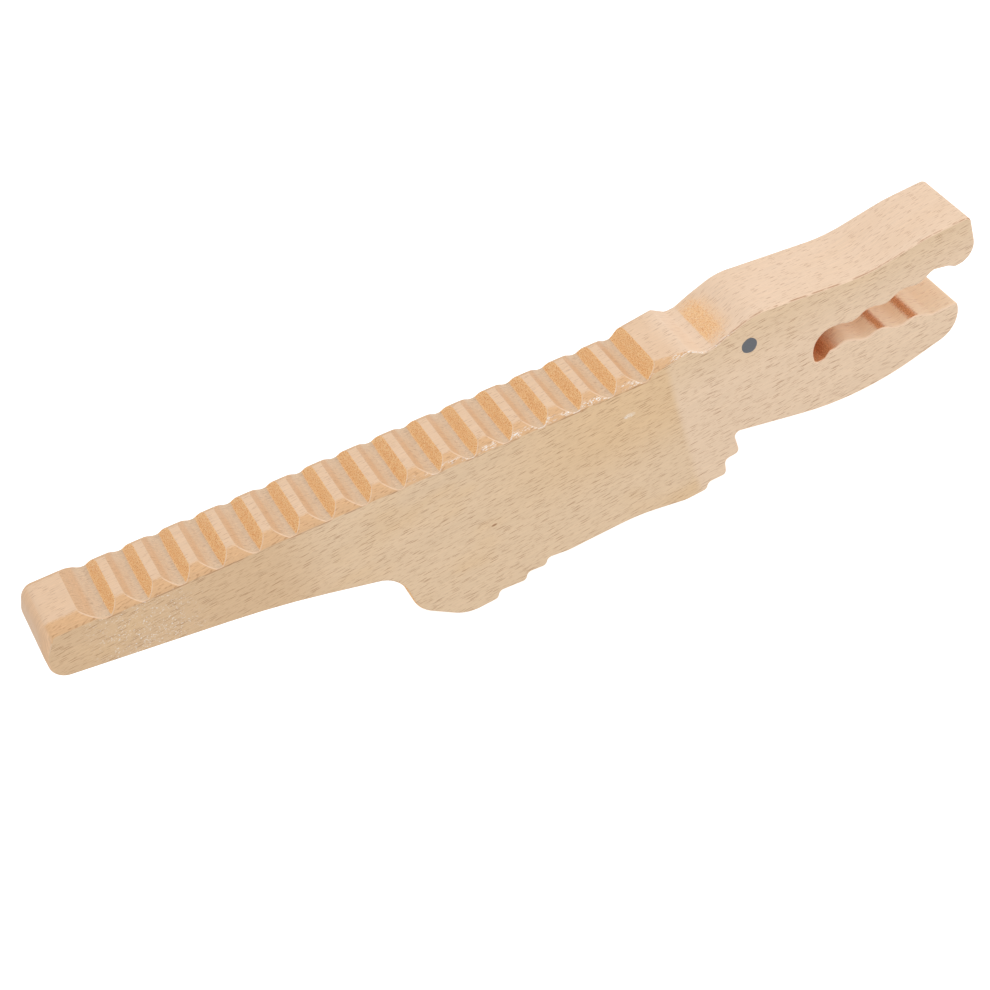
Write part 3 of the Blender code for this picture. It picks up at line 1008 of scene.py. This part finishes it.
class Grain:
    """What the beech reads all over the board: places, directions and shared textures."""

    def __init__(self, tree):
        self.tree = tree
        self.place = millimetres(tree)
        self.side_place = along_axes(tree, (1.0, 0.0, SIDE_TURN), (-SIDE_TURN, 0.0, 1.0))
        self.top_place = along_axes(tree, (1.0, TOP_TURN, 0.0), (-TOP_TURN, 1.0, 0.0))
        self.end_place = along_axes(tree, (0.0, END_TURN, 1.0), (0.0, 1.0, -END_TURN))
        self.x = dot(tree, object_place(tree), (1.0, 0.0, 0.0))
        self.z = dot(tree, object_place(tree), (0.0, 0.0, 1.0))
        normal = tree.add("ShaderNodeNewGeometry").outputs["Normal"]
        self.sideways = tree.math("ABSOLUTE", dot(tree, normal, (0.0, 1.0, 0.0)))
        from_back = tree.vector("SUBTRACT", object_place(tree), row_corner())
        self.height = dot(tree, from_back, BACK_OUTWARDS)
        self.fine = noise(tree, self.place, *FINE_GRAIN)
        self.flecks = noise(tree, self.place, *GROOVE_FLECKS)
        self.pores = noise(tree, self.place, *PORES)
        ragged = noise(tree, self.place, *RAGGED_EDGE)
        self.ragged = centred(tree, ragged, RAGGED_SIZE)
        self.side_streaks = noise(tree, self.side_place, *SIDE_STREAKS)
        self.top_streaks = noise(tree, self.top_place, *TOP_STREAKS)
        short_rays = dashes(tree, self.side_place, *SHORT_RAYS)
        self.side_rays = tree.math(
            "MAXIMUM",
            dashes(tree, self.side_place, *LONG_RAYS),
            tree.math("MULTIPLY", short_rays, SHORT_RAY_SHARE),
        )
        self.top_rays = dashes(tree, self.top_place, *TOP_RAYS)
        self.groove_rays = peaks(tree, self.top_place, GROOVE_RAYS, GROOVE_RAY_PEAKS)
        self.flat_side = smooth_step(tree, self.sideways, *FLAT_SIDE_FACING)
        self.row_x = from_middle(row_start())
        self.shoulder_end = from_middle(shoulder_start() + SHOULDER_LENGTH)
        self.neck_x = from_middle(neck_x())
        self.mouth_start = from_middle(body_length() - MOUTH_DEPTH)


def side_wood(grain):
    """The flat sides: tan with long faint streaks, a honey patch and short dark rays."""
    tree = grain.tree
    honey = all_of(
        tree,
        smooth_step(tree, grain.x, *HONEY_BEGINS),
        smooth_step(tree, grain.x, *HEAD_TONE_BEGINS[::-1]),
        smooth_step(tree, grain.z, *HONEY_CLIMBS),
    )
    clouds = peaks(tree, grain.place, SIDE_CLOUDS, CLOUD_EDGES)
    head_tone = all_of(
        tree,
        smooth_step(tree, grain.x, *HEAD_TONE_BEGINS),
        smooth_step(tree, grain.z, *HEAD_TONE_SINKS),
    )
    wood = blend(tree, smooth_step(tree, grain.x, *TAIL_DARKENS), SIDE_TAN, SIDE_DARK)
    wood = cover(tree, wood, tree.math("MAXIMUM", honey, clouds), HONEY_SHARE, SIDE_HONEY)
    wood = cover(tree, wood, head_tone, HEAD_TONE_SHARE, SIDE_PALE)
    wood = tinted(
        tree,
        wood,
        (grain.side_streaks, SIDE_STREAK_TINT),
        (noise(tree, grain.side_place, *FINE_STREAKS), FINE_STREAK_TINT),
        (noise(tree, grain.side_place, *SIDE_BANDS), SIDE_BAND_TINT),
        (grain.fine, SIDE_FINE_TINT),
    )
    return cover(tree, wood, grain.side_rays, SIDE_RAY_SHARE, RAY_BROWN)


def top_wood(grain):
    """Faces that look up: paler and less yellow than the sides, partly painted sheen, with finer
    flecks.
    """
    tree = grain.tree
    wood = blend(tree, noise(tree, grain.top_place, *TOP_PATCHES), TOP_PEACH, TOP_PALE)
    end = grain.shoulder_end
    on_the_row = smooth_step(tree, grain.x, end, end - ROW_TONE_RUN)
    wood = cover(tree, wood, on_the_row, ROW_TONE_SHARE, ROUTED_TAN)
    wood = tinted(
        tree,
        wood,
        (grain.top_streaks, TOP_STREAK_TINT),
        (noise(tree, grain.top_place, *FINE_STREAKS), FINE_STREAK_TINT),
        (grain.fine, TOP_FINE_TINT),
    )
    return cover(tree, wood, grain.top_rays, TOP_RAY_SHARE, RAY_BROWN)


def with_groove_wood(grain, wood):
    """Inside the grooves the cutter left the wood greyer and more flecked."""
    tree = grain.tree
    on_rear_wall = facing(tree, BACK_ALONG, *REAR_WALL_FACING)
    deep = smooth_step(tree, grain.height, *GROOVE_TONE_DEPTHS)
    end = grain.shoulder_end
    in_groove = all_of(
        tree,
        tree.math("MAXIMUM", deep, on_rear_wall),
        smooth_step(tree, grain.x, end - SHOULDER_LENGTH / 2, end - SHOULDER_LENGTH),
    )
    upper_part = smooth_step(tree, grain.height, *REAR_WALL_TONE_DEPTHS)
    upper_wall = all_of(tree, on_rear_wall, upper_part)
    groove = blend(tree, upper_wall, GROOVE_GREY, REAR_WALL_TAN)
    groove = tinted(tree, groove, (grain.flecks, GROOVE_FLECK_TINT))
    groove = cover(tree, groove, grain.groove_rays, GROOVE_RAY_SHARE, RAY_BROWN)
    return blend(tree, in_groove, wood, groove)


def with_routed_edges(grain, wood):
    """The long edges that the router rounded are darker and streaked."""
    tree = grain.tree
    end = grain.shoulder_end
    routed = all_of(
        tree,
        smooth_step(tree, tree.math("ADD", grain.sideways, grain.ragged), *ROUTED_FACING),
        smooth_step(tree, grain.height, *ROUTED_DEPTHS),
        smooth_step(tree, grain.x, end + ROUTED_END_RUN, end - ROUTED_END_RUN),
    )
    streaks = noise(tree, grain.place, *ROUTER_STREAKS)
    routed_wood = tinted(tree, ROUTED_TAN, (streaks, ROUTER_STREAK_TINT))
    routed_wood = cover(tree, routed_wood, grain.groove_rays, ROUTED_RAY_SHARE, LINE_BROWN)
    return cover(tree, wood, routed, ROUTED_SHARE, routed_wood)


def with_cut_ends(grain, wood):
    """Cut ends: orange in the grooves and on the brow, on slopes that face the tail, deepened
    there by painted shade; paler at the tail and on the head.
    """
    tree = grain.tree
    end = blend(tree, smooth_step(tree, grain.pores, *PALE_PORES), END_ORANGE, END_BRIGHT)
    end = blend(tree, smooth_step(tree, grain.pores, *DARK_PORES), end, END_PORE)
    across = tree.math("ABSOLUTE", dot(tree, grain.place, (0.0, 1.0, 0.0)))
    outer = smooth_step(tree, across, *OUTER_PARTS)
    boundary = tree.math("SUBTRACT", grain.ragged, tree.math("MULTIPLY", outer, OUTER_LESS))
    tailwards = (-BACK_ALONG[0], 0.0, -BACK_ALONG[2])
    row_x = grain.row_x
    past_tail_end = smooth_step(tree, grain.x, row_x - TAIL_END_RUN, row_x)
    on_the_brow = smooth_step(tree, grain.x, *shifted(grain.shoulder_end, (0.0, BROW_RUN)))
    brow_share = smooth_step(tree, grain.x, *shifted(grain.neck_x, BROW_FADES))
    brow_share = tree.math("MULTIPLY", brow_share, BROW_SHARE)
    # Orange only on slopes that face the tail: real end grain, with painted shade on the shaded
    # side
    orange = all_of(
        tree,
        facing(tree, tailwards, *CUT_END_FACING, boundary),
        past_tail_end,
        opposite(tree, all_of(tree, on_the_brow, opposite(tree, brow_share))),
    )
    wood = blend(tree, orange, wood, end)
    square_end = tinted(
        tree,
        TAIL_END_TAN,
        (noise(tree, grain.end_place, *END_LINES), END_LINE_TINT),
        (grain.fine, END_FINE_TINT),
    )
    tail_end = all_of(
        tree, facing(tree, (-1.0, 0.0, 0.0), *TAIL_END_FACING), opposite(tree, past_tail_end)
    )
    head_ends = all_of(
        tree,
        facing(tree, (1.0, 0.0, 0.0), *HEAD_END_FACING),
        smooth_step(tree, grain.x, *shifted(grain.neck_x, HEAD_ENDS_BEGIN)),
    )
    wood = blend(tree, tail_end, wood, square_end)
    return blend(tree, head_ends, wood, square_end)


def with_mouth(grain, wood):
    """The mouth: red brown where it is cut steeply, darkened by painted shade in bands and towards
    its back; pink where it follows the grain, paler than the beech elsewhere with painted light.
    """
    tree = grain.tree
    start = grain.mouth_start
    in_mouth = all_of(
        tree,
        smooth_step(tree, grain.x, *shifted(start, MOUTH_SURFACE_BEGINS)),
        between(tree, grain.z, *MOUTH_SURFACE_HEIGHTS),
        smooth_step(tree, grain.sideways, *MOUTH_SURFACE_FACING),
    )
    stray = tree.math("MULTIPLY", grain.ragged, MOUTH_RAGGED_SHARE)
    ragged_x = tree.math("ADD", grain.x, stray)
    bands = []
    # Bands of steep end grain, darkened with painted shade
    for place in MOUTH_BAND_PLACES:
        band = shifted(start + place, (-MOUTH_BAND_HALF, MOUTH_BAND_HALF))
        bands.append(between(tree, ragged_x, *band, MOUTH_BAND_SOFTNESS))
    mouth = tinted(
        tree,
        MOUTH_PAINTED_LIGHT_PINK,
        (grain.flecks, MOUTH_FLECK_TINT),
        (grain.top_streaks, MOUTH_STREAK_TINT),
    )
    mouth = cover(tree, mouth, grain.top_rays, MOUTH_RAY_SHARE, MOUTH_BROWN)
    grainy = smooth_step(tree, grain.pores, *MOUTH_PORES)
    band_wood = blend(tree, grainy, MOUTH_BROWN, MOUTH_FLECK)
    mouth = blend(tree, tree.math("MAXIMUM", *bands), mouth, band_wood)
    # Painted shade, darkest at the mouth's back
    back_shade_wood = blend(tree, grainy, BACK_OF_MOUTH_SHADE_BROWN, MOUTH_FLECK)
    shade_at_the_back = smooth_step(tree, ragged_x, *shifted(start, BACK_OF_MOUTH_SHADE_FADES))
    mouth = blend(tree, shade_at_the_back, mouth, back_shade_wood)
    return blend(tree, in_mouth, wood, mouth)


def crease_height():
    """Height over the row at which the routed edge meets the flat side."""
    return -BACK_ROUNDOVER * (1 - math.sin(math.acos(1 - ROUNDOVER_OFFSET / BACK_ROUNDOVER)))


def with_highlights_and_dark_lines(grain, wood):
    """Painted highlight along the grooves' edges, and thin dark lines along the back and the head.
    """
    tree = grain.tree
    edge_highlight = tree.add("ShaderNodeAttribute", attribute_name="groove_edge_highlight").outputs["Fac"]
    highlight_line = all_of(
        tree,
        smooth_step(tree, edge_highlight, *HIGHLIGHT_LINE),
        smooth_step(tree, grain.sideways, *HIGHLIGHT_FACING),
    )
    # Painted highlight: pale colour where the grooves' eased edges catch the light
    wood = cover(tree, wood, highlight_line, HIGHLIGHT_SHARE, TOP_PALE)
    low, high, soft = CREASE_REACH
    crease = all_of(
        tree,
        between(tree, grain.height, crease_height() + low, crease_height() + high, soft),
        smooth_step(tree, grain.sideways, *CREASE_FACING),
        peaks(tree, grain.place, CREASE_GAPS, CREASE_PEAKS),
        smooth_step(tree, grain.x, *shifted(grain.shoulder_end, CREASE_ENDS)),
        smooth_step(tree, grain.x, *shifted(grain.row_x, CREASE_BEGINS)),
    )
    head_line = all_of(
        tree,
        between(tree, grain.sideways, *HEAD_LINE_FACING),
        facing(tree, (0.0, 0.0, 1.0), *UPWARDS_FACING),
        smooth_step(tree, grain.z, *HEAD_LINE_CLIMBS),
        peaks(tree, grain.place, HEAD_LINE_GAPS, HEAD_LINE_PEAKS),
        smooth_step(tree, grain.x, *shifted(grain.shoulder_end, (0.0, HEAD_LINE_RUN))),
    )
    return cover(tree, wood, tree.math("MAXIMUM", crease, head_line), LINE_SHARE, LINE_BROWN)


def painted_glints(grain):
    """Painted glints, white spots of painted reflection on the lacquer: low on the routed edge, on
    the shoulder, near the tail.
    """
    tree = grain.tree
    on_the_edge = all_of(
        tree,
        between(tree, grain.height, crease_height(), EDGE_GLINT_TOP, EDGE_GLINT_SOFTNESS),
        between(tree, grain.sideways, *EDGE_GLINT_FACING),
        between(tree, grain.x, EDGE_GLINTS_BEGIN, grain.shoulder_end, EDGE_GLINTS_RUN),
    )
    low, high, soft = SHOULDER_GLINT_REACH
    on_the_shoulder = all_of(
        tree,
        between(tree, grain.x, grain.shoulder_end + low, grain.shoulder_end + high, soft),
        between(tree, grain.sideways, *SHOULDER_GLINT_FACING),
        facing(tree, (0.0, 0.0, 1.0), *UPWARDS_FACING),
    )
    along_edges = all_of(
        tree,
        tree.math("MAXIMUM", on_the_edge, on_the_shoulder),
        peaks(tree, grain.place, GLINT_SPOTS, GLINT_PEAKS),
    )
    near_the_tail = all_of(
        tree,
        grain.flat_side,
        between(tree, grain.x, *TAIL_GLINT_PLACE),
        peaks(tree, grain.place, TAIL_GLINT_SPOTS, TAIL_GLINT_PEAKS),
        TAIL_GLINT_SHARE,
    )
    clusters = peaks(tree, grain.place, GLINT_CLUSTERS, CLUSTER_PEAKS)
    return tree.math("MULTIPLY", tree.math("MAXIMUM", along_edges, near_the_tail), clusters)


def side_mark(grain, place, size):
    """1 at a place on the right side face, falling to 0 at the edge of an oval of that size."""
    tree = grain.tree
    aside = tree.math("DIVIDE", tree.math("SUBTRACT", grain.x, place[0]), size[0] / 2)
    above = tree.math("DIVIDE", tree.math("SUBTRACT", grain.z, place[1]), size[1] / 2)
    aside_squared = tree.math("MULTIPLY", aside, aside)
    distance = tree.math("ADD", aside_squared, tree.math("MULTIPLY", above, above))
    on_the_right = facing(tree, (0.0, -1.0, 0.0), *MARK_FACING)
    return all_of(tree, smooth_step(tree, distance, *MARK_EDGE), on_the_right)


def with_marks(grain, wood):
    """Two small marks on the right side: a pale scuff and a brown speck."""
    tree = grain.tree
    scuff_grain = smooth_step(tree, grain.fine, *SCUFF_PEAKS)
    scuff = all_of(tree, side_mark(grain, SCUFF_PLACE, SCUFF_SIZE), scuff_grain)
    wood = cover(tree, wood, scuff, SCUFF_SHARE, GLINT_AND_SCUFF_WHITE)
    speck = side_mark(grain, SPECK_PLACE, SPECK_SIZE)
    return cover(tree, wood, speck, SPECK_SHARE, RAY_BROWN)


def beech_material():
    material, tree, shader = material_tree("lacquered_beech")
    grain = Grain(tree)
    glints = painted_glints(grain)
    wood = with_groove_wood(grain, top_wood(grain))
    wood = with_routed_edges(grain, wood)
    wood = with_cut_ends(grain, wood)
    wood = with_mouth(grain, wood)
    wood = blend(tree, grain.flat_side, wood, side_wood(grain))
    wood = with_highlights_and_dark_lines(grain, wood)
    # Painted glints: white spots where the lacquer catches the light
    wood = cover(tree, wood, glints, GLINT_SHARE, GLINT_AND_SCUFF_WHITE)
    wood = with_marks(grain, wood)
    tree.feed(shader.inputs["Base Color"], wood)

    shader.inputs["Specular IOR Level"].default_value = BEECH_SPECULAR
    rough = centred(tree, grain.side_streaks, STREAK_ROUGHNESS)
    rough = tree.math("ADD", BEECH_ROUGHNESS, rough)
    rough = tree.math("SUBTRACT", rough, tree.math("MULTIPLY", glints, GLINT_GLOSS))
    tree.feed(shader.inputs["Roughness"], rough)
    raised = tree.math("MULTIPLY", grain.fine, GRAIN_RELIEF)
    sunken = tree.math("MULTIPLY", grain.side_rays, RAY_RELIEF)
    add_bump(tree, shader, tree.math("SUBTRACT", raised, sunken), *BEECH_BUMP)
    return material


def eye_material():
    material, tree, shader = material_tree("grey_eye_paint")
    speckle = noise(tree, millimetres(tree), *EYE_SPECKLE)
    paint = blend(tree, speckle, EYE_DARK_GREY, EYE_PALE_GREY)
    tree.feed(shader.inputs["Base Color"], paint)
    shader.inputs["Roughness"].default_value = EYE_ROUGHNESS
    add_bump(tree, shader, speckle, *EYE_BUMP)
    return material


def add_floor():
    mesh = bmesh.new()
    bmesh.ops.create_grid(mesh, x_segments=1, y_segments=1, size=FLOOR_HALF)
    floor = new_object("floor", mesh)
    material, _, shader = material_tree("white_paper")
    shader.inputs["Base Color"].default_value = FLOOR_GREY
    shader.inputs["Roughness"].default_value = FLOOR_ROUGHNESS
    shader.inputs["Emission Color"].default_value = WHITE
    shader.inputs["Emission Strength"].default_value = FLOOR_GLOW
    floor.data.materials.append(material)
    floor.visible_diffuse = False
    floor.visible_glossy = False


def add_area_light(name, place, size, watts):
    light = bpy.data.lights.new(name, "AREA")
    light.shape = "DISK"
    light.size = size
    light.energy = watts
    lamp = bpy.data.objects.new(name, light)
    lamp.location = place
    lamp.rotation_euler = (-Vector(place)).to_track_quat("-Z", "Y").to_euler()
    bpy.context.scene.collection.objects.link(lamp)


def add_studio():
    world = bpy.data.worlds.new("studio")
    world.use_nodes = True
    background = world.node_tree.nodes["Background"]
    background.inputs["Color"].default_value = WHITE
    background.inputs["Strength"].default_value = STUDIO_STRENGTH
    bpy.context.scene.world = world
    for name, place, size, watts in STUDIO_LIGHTS:
        add_area_light(name, place, size, watts)
    bpy.context.scene.view_settings.view_transform = "Standard"
    bpy.context.scene.view_settings.look = "None"


def add_camera():
    data = bpy.data.cameras.new("camera")
    data.sensor_width = SENSOR_WIDTH
    data.lens = CAMERA_LENS
    camera = bpy.data.objects.new("camera", data)
    camera.location = CAMERA_PLACE
    camera.rotation_euler = Euler([math.radians(turn) for turn in CAMERA_TURN])
    bpy.context.scene.collection.objects.link(camera)
    bpy.context.scene.camera = camera


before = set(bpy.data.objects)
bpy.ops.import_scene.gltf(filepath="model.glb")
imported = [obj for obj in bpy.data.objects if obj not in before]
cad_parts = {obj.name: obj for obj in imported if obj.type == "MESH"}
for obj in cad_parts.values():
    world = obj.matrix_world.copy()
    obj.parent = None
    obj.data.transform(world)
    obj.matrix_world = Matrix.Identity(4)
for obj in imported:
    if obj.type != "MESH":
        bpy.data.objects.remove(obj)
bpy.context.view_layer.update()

body = grooved_body(beech_material())
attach(body, "root")
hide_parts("body")

eye_paint = eye_material()
for name, side in (("right_eye", -1), ("left_eye", 1)):
    eye = new_object(name, eye_mesh(side))
    eye.data.materials.append(eye_paint)
    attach(eye, "root")

add_floor()
add_studio()
add_camera()
